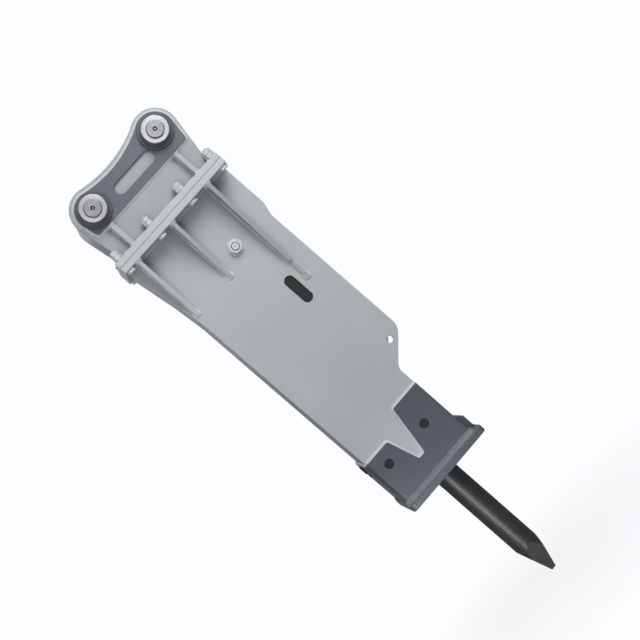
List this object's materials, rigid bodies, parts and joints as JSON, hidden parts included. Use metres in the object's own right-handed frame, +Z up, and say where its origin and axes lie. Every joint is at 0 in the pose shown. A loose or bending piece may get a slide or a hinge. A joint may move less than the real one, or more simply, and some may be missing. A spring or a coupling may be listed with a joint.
{
  "type": "hydraulic breaker hammer",
  "caption": "Box-housed hydraulic breaker hammer with a top bracket, cross pins, a bolted flange joint, ribbed side plates, nose armour and a sliding pyramid-point tool.",
  "frame": {"origin": "on the tool axis, level with the centre of the stick pin, half way between the two ears", "axes": "+Z up along the tool axis with the tool pointing down; +X towards the valve bulge and the link pin; Y along the bracket pins"},
  "size_m": [0.7585, 0.7138, 3.1459],
  "materials": {
    "grey_paint": "satin light grey machine paint, worn at the edges",
    "dark_paint": "satin blue-grey machine paint on wear plates",
    "bright_steel": "turned, bright plated steel",
    "tool_steel": "blackened forged tool steel, satin",
    "cast_steel": "rough cast and forged steel",
    "machined_steel": "ground steel",
    "bronze": "plain bearing bronze",
    "rubber": "matt black rubber",
    "urethane": "amber cushion elastomer"
  },
  "bodies": {
    "housing": {"accumulator": "cast_steel", "back_head": "cast_steel", "bracket_ear_far": "grey_paint", "bracket_ear_near": "grey_paint", "bracket_flange": "grey_paint", "bulge_wall": "grey_paint", "charging_valve": "machined_steel", "cylinder_body": "cast_steel", "ear_doubler_far": "dark_paint", "ear_doubler_near": "dark_paint", "flange_bolt_far_1": "grey_paint", "flange_bolt_far_2": "grey_paint", "flange_bolt_far_3": "grey_paint", "flange_bolt_far_4": "grey_paint", "flange_bolt_near_1": "grey_paint", "flange_bolt_near_2": "grey_paint", "flange_bolt_near_3": "grey_paint", "flange_bolt_near_4": "grey_paint", "front_head": "cast_steel", "hose_adapter_in": "machined_steel", "hose_adapter_out": "machined_steel", "housing_flange": "grey_paint", "link_bush_far": "dark_paint", "link_bush_near": "dark_paint", "link_pin": "bright_steel", "link_pin_collar": "bright_steel", "lower_damper": "urethane", "lower_tool_bush": "bronze", "narrow_wall": "grey_paint", "nose_armour_far": "dark_paint", "nose_armour_near": "dark_paint", "nose_end_armour": "dark_paint", "nose_flange": "dark_paint", "nose_gusset": "dark_paint", "nose_plug_far_1": "rubber", "nose_plug_far_2": "rubber", "nose_plug_near_1": "rubber", "nose_plug_near_2": "rubber", "retaining_pin_left": "machined_steel", "retaining_pin_right": "machined_steel", "side_plate_far": "grey_paint", "side_plate_near": "grey_paint", "slot_cover_far": "rubber", "slot_cover_near": "rubber", "stick_bush_far": "dark_paint", "stick_bush_near": "dark_paint", "stick_pin": "bright_steel", "stick_pin_collar": "bright_steel", "through_bolt_1": "machined_steel", "through_bolt_2": "machined_steel", "through_bolt_3": "machined_steel", "through_bolt_4": "machined_steel", "tie_bolt": "grey_paint", "upper_damper": "urethane", "upper_tool_bush": "bronze", "valve_body": "cast_steel", "valve_cap": "machined_steel"},
    "working_tool": {"tool": "tool_steel"},
    "hammer_piston": {"piston": "machined_steel"},
    "control_spool": {"valve_spool": "machined_steel"}
  },
  "joints": [
    {"name": "tool_slide", "type": "slide", "parent": "housing", "child": "working_tool", "axis": [0, 0, 1], "range_m": [0, 0.075]},
    {"name": "piston_slide", "type": "slide", "parent": "housing", "child": "hammer_piston", "axis": [0, 0, 1], "range_m": [0, 0.13]},
    {"name": "spool_slide", "type": "slide", "parent": "housing", "child": "control_spool", "axis": [0, 0, 1], "range_m": [0, 0.02]}
  ]
}
